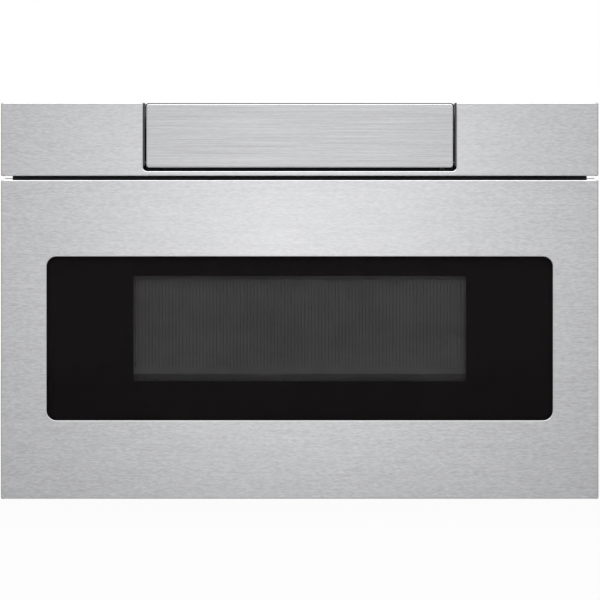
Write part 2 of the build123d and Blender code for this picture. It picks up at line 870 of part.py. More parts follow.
def transformer_core():
    """Laminated core with two windows beside its middle leg."""
    x, y = transformer_centre
    deep = transformer_depth / 2
    top = floor_z + transformer_height
    core = block(centred(transformer_width, x), (y - deep, y + deep), (floor_z, top))
    for side in (-1, 1):
        near = x + side * transformer_leg
        far = near + side * transformer_window
        core -= block(
            (min(near, far), max(near, far)),
            (y - deep - sheet, y + deep + sheet),
            (floor_z + transformer_leg, top - transformer_leg),
        )
    return core


def transformer_windings():
    """Copper coil round the core's middle leg."""
    x, y = transformer_centre
    leg = transformer_leg + coil_gap
    outer = transformer_leg + transformer_window - coil_gap
    deep = transformer_depth / 2 + coil_gap
    reach = deep + coil_overhang
    ring = rectangle((x - outer, x + outer), (y - reach, y + reach), coil_corner)
    ring -= rectangle((x - leg, x + leg), (y - deep, y + deep))
    low = floor_z + transformer_leg + coil_gap
    high = floor_z + transformer_height - transformer_leg - coil_gap
    return plan_slab(ring, (low, high))


def hv_capacitor():
    """Oval high-voltage capacitor with two terminals."""
    x, y = capacitor_centre
    top = floor_z + capacitor_height
    can = plan_slab(Pos(x, y) * SlotOverall(capacitor_width, capacitor_depth), (floor_z, top))
    for terminal_x in centred(terminal_spacing, x):
        can += rod_z(terminal_radius, (top, top + terminal_height), terminal_x, y)
    return can


def fan_housing():
    """Square fan frame with its motor held on four struts."""
    x, z = fan_centre_x, fan_centre_z
    frame = rectangle(centred(fan_size, x), centred(fan_size, z), fan_strut)
    bore = Pos(x, z) * Circle(fan_blade_radius + fan_tip_gap)
    housing = front_slab(frame, (fan_front, fan_front + fan_depth))
    housing -= front_slab(bore, (fan_front - sheet, fan_front + fan_depth + sheet))
    cross = Rectangle(2 * (fan_blade_radius + fan_strut), fan_strut)
    struts = Pos(x, z) * (Rot(0, 0, 45) * cross + Rot(0, 0, -45) * cross)
    housing += front_slab(struts, (fan_front + fan_depth - fan_strut, fan_front + fan_depth))
    housing += rod_y(fan_hub_radius, (fan_motor_front, fan_front + fan_depth), x, z)
    bore_end = fan_motor_front + fan_shaft_depth
    return housing - rod_y(fan_shaft_radius + shaft_clearance, (fan_motor_front - sheet, bore_end), x, z)


def fan_blade():
    """Fan rotor: twisted blades on a hub with a short shaft."""
    back = fan_motor_front - frame_gap
    front = fan_front + frame_gap
    middle = (front + back) / 2
    reach = fan_blade_radius - fan_blade_root
    plate = Rot(-fan_blade_twist, 0, 0) * Box(reach, fan_blade_thickness, fan_blade_chord)
    blade = Pos(fan_blade_root + reach / 2, middle, 0) * plate
    rotor = rod_y(fan_hub_radius, (front, back), 0, 0)
    for i in range(fan_blades):
        rotor += Rot(0, i * 360 / fan_blades, 0) * blade
    rotor = rotor & rod_y(fan_blade_radius, (front, back), 0, 0)
    rotor += rod_y(fan_shaft_radius, (middle, fan_motor_front + fan_shaft_depth - running_gap), 0, 0)
    return Pos(fan_centre_x, 0, fan_centre_z) * rotor


def power_board():
    """Power and relay board on four stand-offs above the cavity."""
    x, y = board_centre
    width, depth = board_size
    low = cavity_top + standoff_height
    top = low + board_thickness
    board = block(centred(width, x), centred(depth, y), (low, top))
    for foot_x in centred(width - 2 * standoff_from_edge, x):
        for foot_y in centred(depth - 2 * standoff_from_edge, y):
            board += rod_z(standoff_radius, (cavity_top, top), foot_x, foot_y)
    for spot in GridLocations(relay_pitch, relay_pitch, relays_in_row, relays_in_row):
        place = (Pos(x, y) * spot).position
        relay_x = centred(relay_size[0], place.X)
        relay_y = centred(relay_size[1], place.Y)
        board += block(relay_x, relay_y, (top, top + relay_size[2]))
    return board


def cavity_lamp():
    """Lamp housing on the right cavity wall."""
    y, z = lamp_centre
    face = cavity_half + sheet
    lamp = rod_x(lamp_radius, (face, face + lamp_length), y, z)
    lamp -= rod_x(lamp_radius - 2 * sheet, (face - sheet, face + lamp_length - 2 * sheet), y, z)
    return lamp + rod_x(lamp_bulb_radius, (face + sheet, face + lamp_length), y, z)


switch_plate_x = switch_bracket_x + sheet
tab_inner_x = switch_plate_x + switch_size[0] + plunger_length + tab_gap
tab_centre_z = switch_bracket_bottom + switch_gap + switch_size[2] / 2


def switch_brackets():
    """Angle brackets behind the mounting frame that hold the interlock switches."""
    width, depth, height = switch_bracket_size
    span = (switch_bracket_bottom, switch_bracket_bottom + height)
    plate = block((switch_bracket_x, switch_plate_x), (frame_back, frame_back + depth), span)
    foot = block((switch_bracket_x - width, switch_plate_x), (frame_back, frame_back + sheet), span)
    return both_sides(plate + foot)


def interlock_switches():
    """Door switches, two a side, with their plungers towards the drawer's tabs."""
    width, depth, height = switch_size
    face = switch_plate_x + width
    start = frame_back + 2 * sheet
    low = switch_bracket_bottom + switch_gap
    upper_low = low + switch_pitch
    lower = block((switch_plate_x, face), (start, start + depth), (low, low + height))
    lower += rod_x(plunger_radius, (face, face + plunger_length), start + plunger_from_front, tab_centre_z)
    upper = block((switch_plate_x, face), (start, start + depth), (upper_low, upper_low + height))
    return both_sides(lower) + both_sides(upper)


def latch_tabs():
    """Steel tabs behind the drawer front that work the interlock switches."""
    thickness, height = latch_tab_size
    x = (tab_inner_x, tab_inner_x + thickness)
    z = centred(height, tab_centre_z)
    tab = block(x, (door_plate_back, frame_back + latch_tab_reach), z)
    foot = block((x[0], x[1] + latch_tab_foot), (door_plate_back, door_plate_back + sheet), z)
    return both_sides(tab + foot)


def drawer_front():
    """Steel drawer front with folded edges and the cut-out for its glass."""
    outline = rectangle((-half_width, half_width), (0.0, drawer_front_height))
    outline = fillet(outline.vertices(), panel_corner)
    shell = steel_shell(outline, panel_thickness)
    cut = rectangle(centred(glass_width), (glass_bottom, glass_bottom + glass_height), glass_corner)
    shell -= front_slab(cut, (front_y - skin, front_y + 2 * skin))
    rim = shell.faces().sort_by(Axis.Y)[0].inner_wires()[0]
    return fillet(rim.edges(), glass_edge_round)


def front_glass():
    """Black-bordered glass behind the steel cut-out."""
    reach = glass_width / 2 + glass_overlap
    z = (glass_bottom - glass_overlap, glass_bottom + glass_height + glass_overlap)
    outline = rectangle((-reach, reach), z, glass_corner + glass_overlap)
    return front_slab(outline, (front_y + skin, front_y + skin + glass_thickness))


def window_screen():
    """Perforated screen sheet on the front of the door frame's window."""
    half = window_width / 2 + screen_border
    outline = rectangle((-half, half), (window_bottom - screen_border, window_top + screen_border))
    return front_slab(outline, (door_plate_front - screen_thickness, door_plate_front))


def arm_holes(margin):
    """Front-view holes for the slide arms and the latch tabs."""
    arm = rectangle(
        (inner_web_x - margin, inner_web_x + arm_thickness + margin),
        centred(arm_height + 2 * margin, slide_centre_height),
    )
    tab = rectangle(
        (tab_inner_x - margin, tab_inner_x + latch_tab_size[0] + margin),
        centred(latch_tab_size[1] + 2 * margin, tab_centre_z),
    )
    return arm + tab


def mouth_outline(reach):
    """The cavity mouth's outline on the drawer front, moved outwards by a distance."""
    half = choke_inner_x + reach
    return rectangle((-half, half), (choke_bottom - reach, choke_top + reach))


def door_frame():
    """Stamped steel frame behind the glass, with the choke channel round the cavity's mouth."""
    half = half_width - skin - door_fit
    low = skin + door_fit
    high = drawer_front_height - skin - door_fit
    frame = front_slab(rectangle((-half, half), (low, high)), (door_plate_front, door_plate_back))
    window = rectangle(centred(window_width), (window_bottom, window_top))
    frame -= front_slab(window, (door_plate_front - skin, door_plate_back + skin))
    span = (door_plate_front, back_cover_front)
    for reach in (choke_sheet, choke_width):
        frame += front_slab(mouth_outline(reach) - mouth_outline(reach - choke_sheet), span)
    return frame


def inner_window():
    """Clear pane at the back of the door frame, inside the choke channel."""
    pane_front = back_cover_front - inner_window_thickness
    return front_slab(mouth_outline(-door_fit), (pane_front, back_cover_front))


def back_cover():
    """Moulded cover over the back of the drawer front, open for the window, arms and tabs."""
    half = half_width - skin - door_fit
    outline = rectangle((-half, half), (skin + door_fit, drawer_front_height - skin - door_fit))
    cover = front_slab(outline, (back_cover_front, panel_back))
    through = (back_cover_front - skin, panel_back + skin)
    window = rectangle(centred(window_width), (window_bottom, window_top), cover_window_corner)
    cover -= front_slab(window, through)
    return cover - both_sides(front_slab(arm_holes(pass_through), through))


def slide_arms():
    """Arms that join the drawer front to the slides' inner members."""
    z = centred(arm_height, slide_centre_height)
    arm_end = slide_front + arm_reach
    arm = block((inner_web_x, inner_web_x + arm_thickness), (door_plate_back, arm_end), z)
    foot_back = door_plate_back + arm_thickness
    foot = block((inner_web_x, inner_web_x + arm_foot), (door_plate_back, foot_back), z)
    return both_sides(arm + foot)


def slide_channel(web_x, lip_x, half, span):
    """A C-shaped slide member from its web to the ends of its lips."""
    x = (min(web_x, lip_x), max(web_x, lip_x))
    z = (slide_centre_height - half, slide_centre_height + half)
    to_lips = -slide_sheet if web_x > lip_x else slide_sheet
    hollow_x = (x[0] + to_lips, x[1] + to_lips)
    hollow_z = (z[0] + slide_sheet, z[1] - slide_sheet)
    return block(x, span, z) - block(hollow_x, (span[0] - slide_sheet, span[1] + slide_sheet), hollow_z)


slide_span = (slide_front, slide_front + slide_length)


def slide_outers():
    """Outer slide members, fixed in the case."""
    return both_sides(slide_channel(slide_outside, slide_inside, outer_half, slide_span))


def slide_middles():
    """Middle slide members, which run out half as far as the drawer."""
    web = slide_outside - slide_sheet - running_gap
    return both_sides(slide_channel(web, web - middle_width, middle_half, slide_span))


def slide_inners():
    """Inner slide members, fixed to the drawer."""
    return both_sides(slide_channel(slide_inside, slide_inside + inner_width, inner_half, slide_span))


def bearing_balls():
    """Ball rows above and below the middle members' lips."""
    x = slide_inside + inner_width / 2 + slide_sheet
    row = ball_radius + ball_clearance
    middle_y = slide_front + slide_length / 2
    balls = []
    for side in (-1, 1):
        for way in (-1, 1):
            for z in (middle_half + row, inner_half + row):
                for i in range(balls_per_row):
                    y = middle_y + (i - (balls_per_row - 1) / 2) * ball_pitch
                    balls.append(Pos(side * x, y, slide_centre_height + way * z) * Sphere(ball_radius))
    return Compound(children=balls)


def slide_brackets():
    """Spacer brackets between the outer slide members and the case's side walls."""
    z = centred(slide_bracket_height, slide_centre_height)
    hollow_x = (slide_outside + slide_sheet, case_inner_x - slide_sheet)
    hollow_z = (z[0] - slide_sheet, z[1] + slide_sheet)
    brackets = []
    for y in (slide_span[0] + slide_bracket_from_end, slide_span[1] - slide_bracket_from_end):
        outer = block((slide_outside, case_inner_x), centred(slide_bracket_length, y), z)
        hollow = block(hollow_x, centred(slide_bracket_length - 2 * slide_sheet, y), hollow_z)
        brackets.append(both_sides(outer - hollow))
    return brackets[0] + brackets[1]


def racks():
    """Toothed racks on the drawer, with their teeth down on the pinions."""
    first = pinion_y - rack_teeth_ahead * rack_pitch
    tip = rack_pitch_height - addendum * rack_module
    root = rack_pitch_height + dedendum * rack_module
    slope = math.tan(math.radians(pressure_angle))
    half_tooth = rack_pitch / 4 - tooth_backlash / 2
    tip_half = half_tooth - addendum * rack_module * slope
    root_half = half_tooth + dedendum * rack_module * slope
    points = [(first, rack_top), (first, root)]
    for tooth in range(rack_teeth):
        centre = first + rack_pitch * (tooth + 0.5)
        points += [(centre - root_half, root), (centre - tip_half, tip)]
        points += [(centre + tip_half, tip), (centre + root_half, root)]
    end = first + rack_pitch * rack_teeth
    points += [(end, root), (end, rack_top)]
    outline = make_face(Polyline(points, close=True))
    return both_sides(side_slab(outline, (rack_inside, slide_inside)))


def cross_shaft():
    """Shaft across the unit that keeps both sides of the drawer level."""
    return rod_x(shaft_radius, (-shaft_end, shaft_end), pinion_y, shaft_z)


def shaft_gears():
    """A pinion under each rack and the driven gear, all fixed on the cross shaft."""
    bore = Circle(shaft_radius)
    pinion = gear_outline(rack_module, pinion_teeth, 90 - 180 / pinion_teeth) - bore
    pinions = both_sides(side_slab(Pos(pinion_y, shaft_z) * pinion, (pinion_x, pinion_x + pinion_width)))
    gear = gear_outline(drive_module, shaft_gear_teeth, 0) - bore
    span = (drive_gear_position, drive_gear_position + drive_gear_width)
    return pinions + side_slab(Pos(pinion_y, shaft_z) * gear, span)


gearbox_x = drive_gear_position + drive_gear_width + frame_gap
gearbox_bore = gearbox_size[0] / 2


def motor_gear():
    """The drive motor's output gear and its shaft."""
    outline = gear_outline(drive_module, motor_gear_teeth, 180 / motor_gear_teeth)
    span = (drive_gear_position, drive_gear_position + drive_gear_width)
    gear = side_slab(Pos(motor_gear_y, shaft_z) * outline, span)
    shaft_x = (drive_gear_position, gearbox_x + gearbox_bore - running_gap)
    return gear + rod_x(motor_shaft_radius, shaft_x, motor_gear_y, shaft_z)


def drive_motor():
    """Gear motor on the case floor."""
    width, depth, height = gearbox_size
    middle_y = motor_gear_y + gearbox_offset
    motor_x = gearbox_x + width
    box = block((gearbox_x, motor_x), centred(depth, middle_y), (floor_z, floor_z + height))
    motor = rod_x(motor_radius, (motor_x, motor_x + motor_length), middle_y, shaft_z)
    bore = (gearbox_x - frame_gap, gearbox_x + gearbox_bore)
    return box + motor - rod_x(motor_shaft_radius + shaft_clearance, bore, motor_gear_y, shaft_z)


def shaft_bearings():
    """Bearing blocks for the cross shaft on the case floor."""
    outside = pinion_x - bearing_from_pinion
    x = (outside - bearing_width, outside)
    half = shaft_radius + bearing_wall
    bearing = block(x, (pinion_y - half, pinion_y + half), (floor_z, shaft_z + half))
    hole = rod_x(shaft_radius + shaft_clearance, (x[0] - sheet, x[1] + sheet), pinion_y, shaft_z)
    return both_sides(bearing - hole)


def drawer_pan():
    """Moulded food pan on the back of the drawer front, with a rim and two runners."""
    front = panel_back
    outer = rectangle((-pan_half, pan_half), (front, pan_back), pan_corner)
    inner_half = pan_half - pan_wall
    inner_y = (front + pan_wall, pan_back - pan_wall)
    inner = rectangle((-inner_half, inner_half), inner_y, pan_corner - pan_wall)
    rim = rectangle((-pan_half - pan_rim, pan_half + pan_rim), (front, pan_back + pan_rim), pan_corner)
    pan = plan_slab(outer, (pan_bottom, pan_top))
    pan += plan_slab(rim, (pan_top - pan_wall, pan_top))
    pan -= plan_slab(inner, (pan_bottom + pan_wall, pan_top + pan_wall))
    runner_x = (pan_half - pan_runner_inset - pan_runner_width, pan_half - pan_runner_inset)
    runner_z = (cavity_floor_z + running_gap, pan_bottom)
    runner = block(runner_x, (front + pan_corner, pan_back - pan_corner), runner_z)
    return pan + both_sides(runner)


def pan_glass():
    """Flat glass shelf in the bottom of the pan."""
    inset = pan_wall + door_fit
    x = (-pan_half + inset, pan_half - inset)
    outline = rectangle(x, (panel_back + inset, pan_back - inset), pan_corner - pan_wall)
    low = pan_bottom + pan_wall
    return plan_slab(outline, (low, low + pan_glass_thickness))


def cord_gland():
    """Rubber bush in the rear panel for the supply cord."""
    inner_flange_front = case_inner_back - gland_inner_flange
    gland = rod_y(gland_radius, (case_inner_back, chassis_back), *gland_centre)
    gland += rod_y(gland_flange_radius, (chassis_back, back_y), *gland_centre)
    gland += rod_y(gland_flange_radius, (inner_flange_front, case_inner_back), *gland_centre)
    return gland - rod_y(gland_bore, (inner_flange_front - sheet, back_y + sheet), *gland_centre)


def cabinet_screws():
    """Screws through the rear panel into the case's flanges."""
    screws = []
    for flange_z in (lower_screw_z, upper_screw_z):
        for x, z in case_screw_places(flange_z):
            shank = rod_y(case_screw_radius, (chassis_back - case_screw_length, chassis_back), x, z)
            head = rod_y(case_screw_head_radius, (chassis_back, chassis_back + case_screw_head), x, z)
            screws.append(shank + head)
    return Compound(children=screws)


makers = [
    base_pan, top_cover, side_panels, rear_panel, front_frame, upper_trim, trim_brackets, trim_lip,
    hinge_brackets, tilt_damper, damper_gear, flap_latch, flap_fascia, control_housing, touch_glass,
    control_board, hinge_pins, damper_sector, cavity_floor, cavity_ceiling, cavity_sides, cavity_rear,
    waveguide, magnetron, stirrer_cover, stirrer_blade, stirrer_motor, transformer_core,
    transformer_windings, hv_capacitor, fan_housing, fan_blade, power_board, cavity_lamp,
    switch_brackets, interlock_switches, latch_tabs, drawer_front, front_glass, window_screen,
    door_frame, inner_window, back_cover, slide_arms, slide_outers, slide_middles, slide_inners,
    bearing_balls, slide_brackets, racks, cross_shaft, shaft_gears, motor_gear, drive_motor,
    shaft_bearings, drawer_pan, pan_glass, cord_gland, cabinet_screws,
]

os.makedirs("parts", exist_ok=True)
for maker in makers:
    export_step(maker(), f"parts/{maker.__name__}.step")
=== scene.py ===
"""Looks of a built-in microwave drawer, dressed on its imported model.

Lengths are in metres, +Z is up and the front faces -Y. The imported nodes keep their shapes
and get procedural materials. The print on the front glass, the perforated screen behind it
and the print on the touch glass are made here.
"""

import math

import bmesh
import bpy
from mathutils import Matrix, Vector

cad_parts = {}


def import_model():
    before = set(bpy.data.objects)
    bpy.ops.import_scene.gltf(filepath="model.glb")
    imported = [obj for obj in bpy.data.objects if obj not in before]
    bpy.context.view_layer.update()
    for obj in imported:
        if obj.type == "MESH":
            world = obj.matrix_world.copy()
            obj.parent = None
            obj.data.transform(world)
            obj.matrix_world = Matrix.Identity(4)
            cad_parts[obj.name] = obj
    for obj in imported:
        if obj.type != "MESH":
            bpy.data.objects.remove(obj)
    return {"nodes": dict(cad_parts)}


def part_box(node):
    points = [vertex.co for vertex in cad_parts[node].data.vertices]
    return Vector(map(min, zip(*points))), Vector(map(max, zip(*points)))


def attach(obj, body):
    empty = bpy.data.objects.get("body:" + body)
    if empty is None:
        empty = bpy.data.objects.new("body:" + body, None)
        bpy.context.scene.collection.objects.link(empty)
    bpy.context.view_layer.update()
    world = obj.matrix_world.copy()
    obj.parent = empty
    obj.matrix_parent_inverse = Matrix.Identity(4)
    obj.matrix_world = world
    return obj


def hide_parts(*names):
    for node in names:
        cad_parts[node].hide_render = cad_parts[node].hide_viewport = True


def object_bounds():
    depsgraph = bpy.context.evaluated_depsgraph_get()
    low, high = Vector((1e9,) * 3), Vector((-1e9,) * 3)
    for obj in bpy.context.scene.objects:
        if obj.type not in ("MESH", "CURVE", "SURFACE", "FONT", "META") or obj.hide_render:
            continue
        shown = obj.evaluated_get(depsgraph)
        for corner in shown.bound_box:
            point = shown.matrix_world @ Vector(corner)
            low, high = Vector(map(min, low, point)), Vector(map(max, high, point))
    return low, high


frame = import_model()
cad_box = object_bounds()
nodes = frame["nodes"]

# ---------------------------------------------------------------- sizes
MM = 0.001

# The front window, as the print on the glass leaves it open. A grey film covers its lower
# part, up to band_top.
window_half = 169 * MM
window_low = 119 * MM
window_top = 226.2 * MM
window_corner = 2 * MM
band_top = 126.6 * MM

# The black print ends this far inside the edge of the glass, with corners of this radius.
# Every round corner is drawn in corner_steps.
mask_edge = 0.4 * MM
mask_corner = 10 * MM
corner_steps = 6

# A print lies this far off its glass. Those of the front glass are this thick.
print_gap = 0.06 * MM
print_thickness = 0.03 * MM

# The perforated part of the screen behind the window. Corners of its neighbouring faces
# are welded where they are this close.
holes_half = 172.5 * MM
holes_low = 133.4 * MM
holes_top = 223.5 * MM
hole_pitch_x = 3.45 * MM
hole_pitch_z = 2.1 * MM
hole_radius = 0.52 * MM
weld_distance = 0.06 * MM

# The touch panel leans back from the top edge of the flap. Its print: two rows of digits
# at the left and two signs, placed from the middle and up the glass from its front edge.
touch_lean = math.radians(30)
touch_thickness = 3 * MM
symbol_height = 8 * MM
digits_in_row = 5
digits_left = -140 * MM
signs_left = 66 * MM
symbol_pitch = 17 * MM
upper_row = 32 * MM
row_pitch = 14 * MM

# Brushed steel gets a highlight painted into its colour on its rounded folds, in place of
# light caught there: brighter by the gain below where the Y of the surface's normal is between
# the last of the first pair and the first of the second. Each pair is a soft edge of that
# range. So is the third pair towards the two outer ends, measured from the middle.
painted_highlight_from = (-0.98, -0.88)
painted_highlight_to = (-0.35, -0.15)
painted_highlight_ends = (299 * MM, 301 * MM)
painted_highlight_gain = 1.8

# The floor reaches floor_half to each side. It lies floor_gap under the object and gives
# the camera floor_glow, a share of white, by itself.
floor_half = 6
floor_gap = 0.3 * MM
floor_glow = 0.88

# The world's strength to the camera and in mirror images, and as fill light.
world_white = 1.0
world_fill = 0.3

# Camera: level and straight at the front, from well back. Lens and sensor are in mm, and
# it sees as far as camera_range.
camera_x = 0.3 * MM
camera_z = 201.7 * MM
camera_distance = 3.382
camera_lens = 200
camera_sensor = 36
camera_range = 60

# ---------------------------------------------------------------- materials


class Paint:
    """A Principled material with short calls for its nodes. Where a pattern then drives an
    input, the value given here is the plain one under it."""

    def __init__(self, name, base, metallic=0.0, roughness=0.5, specular=0.5, coat=0.0):
        self.material = bpy.data.materials.new(name)
        self.material.use_nodes = True
        self.material.diffuse_color = (*base, 1)
        self.tree = self.material.node_tree
        self.shader = self.tree.nodes["Principled BSDF"]
        self.base = base
        coordinates = self.add("ShaderNodeTexCoord").outputs
        self.place = coordinates["Object"]
        self.facing = coordinates["Normal"]
        self.set("Base Color", (*base, 1))
        self.set("Metallic", metallic)
        self.set("Roughness", roughness)
        self.set("Specular IOR Level", specular)
        self.set("Coat Weight", coat)
        self.relief = None

    def add(self, kind, inputs=(), **settings):
        """A new node. Its inputs are linked to sockets or set to values."""
        made = self.tree.nodes.new(kind)
        for name, value in settings.items():
            setattr(made, name, value)
        for key, value in dict(inputs).items():
            if isinstance(value, bpy.types.NodeSocket):
                self.tree.links.new(value, made.inputs[key])
            else:
                made.inputs[key].default_value = value
        return made

    def set(self, name, value):
        """Links an input of the shader to a socket, or sets it to a value."""
        if isinstance(value, bpy.types.NodeSocket):
            self.tree.links.new(value, self.shader.inputs[name])
        else:
            self.shader.inputs[name].default_value = value

    def surface(self, shader):
        """Makes another shader's output the material's surface."""
        output = self.tree.nodes["Material Output"]
        self.tree.links.new(shader.outputs[0], output.inputs["Surface"])

    def scaled(self, scale, move=(0, 0, 0)):
        inputs = {"Vector": self.place, "Scale": scale, "Location": move}
        return self.add("ShaderNodeMapping", inputs).outputs["Vector"]

    def noise(self, scale, detail=3.0, rough=0.55, move=(0, 0, 0)):
        inputs = {
            "Vector": self.scaled(scale, move),
            "Scale": 1.0,
            "Detail": detail,
            "Roughness": rough,
        }
        return self.add("ShaderNodeTexNoise", inputs).outputs["Fac"]

    def cells(self, scale, output="Color", feature="F1"):
        inputs = {"Vector": self.scaled(scale), "Scale": 1.0}
        return self.add("ShaderNodeTexVoronoi", inputs, feature=feature).outputs[output]

    def bands(self, width):
        """Bands that follow each other along Y."""
        inputs = {"Vector": self.scaled((1, 1 / width, 1)), "Scale": 1.0}
        return self.add("ShaderNodeTexWave", inputs, bands_direction="Y").outputs["Fac"]

    def span(self, value, low, high, start=0.3, end=0.7):
        """Low to high as value runs from start to end, and no further."""
        inputs = {"Value": value, "From Min": start, "From Max": end, "To Min": low, "To Max": high}
        return self.add("ShaderNodeMapRange", inputs).outputs["Result"]

    def combine(self, first, second, kind="ADD"):
        return self.add("ShaderNodeMath", {0: first, 1: second}, operation=kind).outputs["Value"]

    def shared(self, share, first, second):
        """This share of the first value, and the rest of the second."""
        first = self.combine(first, share, "MULTIPLY")
        second = self.combine(second, 1 - share, "MULTIPLY")
        return self.combine(first, second)

    def blend(self, amount, first, second, kind="MIX"):
        inputs = {"Fac": amount, "Color1": first, "Color2": second}
        return self.add("ShaderNodeMixRGB", inputs, blend_type=kind).outputs["Color"]

    def part(self, vector, axis):
        return self.add("ShaderNodeSeparateXYZ", {"Vector": vector}).outputs[axis]

    def shade(self, amount, spread, colour=None):
        """The colour, or else the base, darker to lighter by spread as amount runs from
        0.3 to 0.7."""
        grey = self.span(amount, 1 - spread, 1 + spread)
        return self.blend(1.0, colour or (*self.base, 1), grey, "MULTIPLY")

    def bump(self, height, strength, distance):
        """A relief, on top of the one before it."""
        inputs = {"Height": height, "Strength": strength, "Distance": distance}
        if self.relief:
            inputs["Normal"] = self.relief
        self.relief = self.add("ShaderNodeBump", inputs).outputs["Normal"]
        self.set("Normal", self.relief)

    def rough(self, value, low, high):
        self.set("Roughness", self.span(value, low, high))


def brushed(name, base, roughness, stroke, width, line, tone):
    """Brushed sheet with its grain along X. Stroke and width are the grain's size, tone is
    how much the grain shows, and line is the long lines' share in it. A painted highlight
    brightens the colour of its folds, but for the two outer ends."""
    p = Paint(name, base, metallic=1.0, roughness=roughness)
    fine = p.noise((1 / stroke, 1 / stroke, 1 / width), 4, 0.7)
    long = p.noise((1 / (stroke * 12), 1 / stroke, 1 / (width * 1.6)), 3, 0.6, (3, 5, 7))
    cloud = p.noise((7, 7, 5), 2, 0.5, (1, 2, 9))
    colour = p.shade(fine, tone * (1 - line))
    colour = p.shade(long, tone * line, colour)
    colour = p.shade(cloud, 0.015, colour)
    # Painted highlight: the colour is made brighter on the rounded folds, chosen by the normal's Y,
    # in place of light caught there.
    forward = p.part(p.facing, "Y")
    painted_highlight = p.combine(p.span(forward, 0, 1, *painted_highlight_from), p.span(forward, 1, 0, *painted_highlight_to), "MULTIPLY")
    across = p.combine(p.part(p.place, "X"), 0.0, "ABSOLUTE")
    painted_highlight = p.combine(painted_highlight, p.span(across, 1, 0, *painted_highlight_ends), "MULTIPLY")
    p.set("Base Color", p.blend(painted_highlight, colour, (*(c * painted_highlight_gain for c in base), 1)))
    p.rough(p.shared(0.7, fine, cloud), roughness - 0.02, roughness + 0.03)
    p.bump(fine, 0.08, 0.00002)
    return p.material


def powder_coat(name, base):
    """Powder coat: fine orange peel, and a few paler rubbed places."""
    p = Paint(name, base, specular=0.4)
    peel = p.noise((900, 900, 900), 2, 0.5)
    rubbed = p.noise((14, 14, 20), 5, 0.7, (4, 4, 1))
    p.set("Base Color", p.shade(rubbed, 0.22))
    p.rough(rubbed, 0.43, 0.6)
    p.bump(peel, 0.25, 0.00012)
    return p.material


def spangle(name, base, size, metallic, roughness):
    """Zinc-coated sheet: crystal patches, rolling streaks and dull handling marks."""
    p = Paint(name, base, metallic, roughness)
    patch = p.add("ShaderNodeSeparateColor", {"Color": p.cells((1 / size,) * 3)}).outputs["Red"]
    rolled = p.noise((4, 130, 130), 3, 0.6, (2, 2, 2))
    dull = p.noise((9, 9, 9), 4, 0.65, (6, 0, 3))
    colour = p.shade(patch, 0.05)
    colour = p.shade(rolled, 0.03, colour)
    p.set("Base Color", p.shade(dull, 0.05, colour))
    p.rough(p.shared(0.35, patch, dull), roughness - 0.08, roughness + 0.12)
    p.bump(rolled, 0.15, 0.00005)
    return p.material


def plated(name, base, roughness):
    """Bright plating with drawing lines and a faint yellow-blue bloom."""
    p = Paint(name, base, metallic=1.0, roughness=roughness)
    drawn = p.noise((300, 18, 300), 2, 0.5)
    bloom = p.noise((30, 30, 30), 3, 0.6, (5, 2, 1))
    warm = (base[0] * 1.04, base[1], base[2] * 0.88, 1)
    cool = (base[0] * 0.95, base[1], base[2] * 1.04, 1)
    p.set("Base Color", p.shade(drawn, 0.06, p.blend(p.span(bloom, 0, 1), warm, cool)))
    p.rough(bloom, roughness - 0.06, roughness + 0.1)
    p.bump(drawn, 0.12, 0.00004)
    return p.material


def enamel(name, base, fleck):
    """Baked enamel: fine flecks in a smooth glossy coat with soft waves."""
    p = Paint(name, base, roughness=0.28, coat=0.25)
    dots = p.cells((420, 420, 420), "Distance")
    wave = p.noise((35, 35, 35), 2, 0.5)
    mask = p.span(dots, 1, 0, 0.12, 0.3)
    p.set("Base Color", p.blend(mask, p.shade(wave, 0.03), (*fleck, 1)))
    p.rough(wave, 0.24, 0.38)
    p.bump(wave, 0.1, 0.0004)
    return p.material


def moulded(name, base, roughness, grain=1100, mottle=0.06):
    """Moulded plastic: spark-eroded grain, flow marks and slightly uneven gloss."""
    p = Paint(name, base, roughness=roughness, specular=0.45)
    skin = p.noise((grain, grain, grain), 2, 0.6)
    flow = p.noise((18, 9, 26), 3, 0.6, (7, 3, 5))
    p.set("Base Color", p.shade(flow, mottle))
    p.rough(p.shared(0.5, skin, flow), roughness - 0.07, roughness + 0.08)
    p.bump(skin, 0.3, 0.00006)
    return p.material


def printed_black(name, base, roughness, specular):
    """Ceramic print fired on glass: deep even black, a little uneven in its gloss."""
    p = Paint(name, base, roughness=roughness, specular=specular)
    flow = p.noise((60, 60, 60), 3, 0.55)
    p.set("Base Color", p.shade(flow, 0.06))
    p.rough(flow, roughness - 0.01, roughness + 0.02)
    return p.material


def thin_glass(name, tint, index):
    """Glass that lets light straight through, tinted where light goes in, with a faintly
    wiped gloss on its near side."""
    p = Paint(name, tint)
    wiped = p.noise((9, 14, 20), 2, 0.5)
    leaving = p.add("ShaderNodeNewGeometry").outputs["Backfacing"]
    colour = p.blend(leaving, p.shade(wiped, 0.01), (1, 1, 1, 1))
    gloss = p.span(wiped, 0.02, 0.04)
    fresnel = p.add("ShaderNodeFresnel", {"IOR": index}).outputs["Fac"]
    share = p.combine(fresnel, p.combine(1.0, leaving, "SUBTRACT"), "MULTIPLY")
    clear = p.add("ShaderNodeBsdfTransparent", {"Color": colour}).outputs[0]
    shine = p.add("ShaderNodeBsdfGlossy", {"Color": (1, 1, 1, 1), "Roughness": gloss}).outputs[0]
    p.surface(p.add("ShaderNodeMixShader", {0: share, 1: clear, 2: shine}))
    p.tree.nodes.remove(p.shader)
    return p.material


def laminations(name, base, sheet):
    """Stacked varnished sheets, seen edge on along Y."""
    p = Paint(name, base, metallic=0.7, roughness=0.45)
    stack = p.bands(sheet)
    varnish = p.noise((60, 60, 60), 4, 0.6)
    p.set("Base Color", p.shade(stack, 0.25, p.shade(varnish, 0.2)))
    p.rough(varnish, 0.35, 0.6)
    p.bump(stack, 0.5, 0.0002)
    return p.material


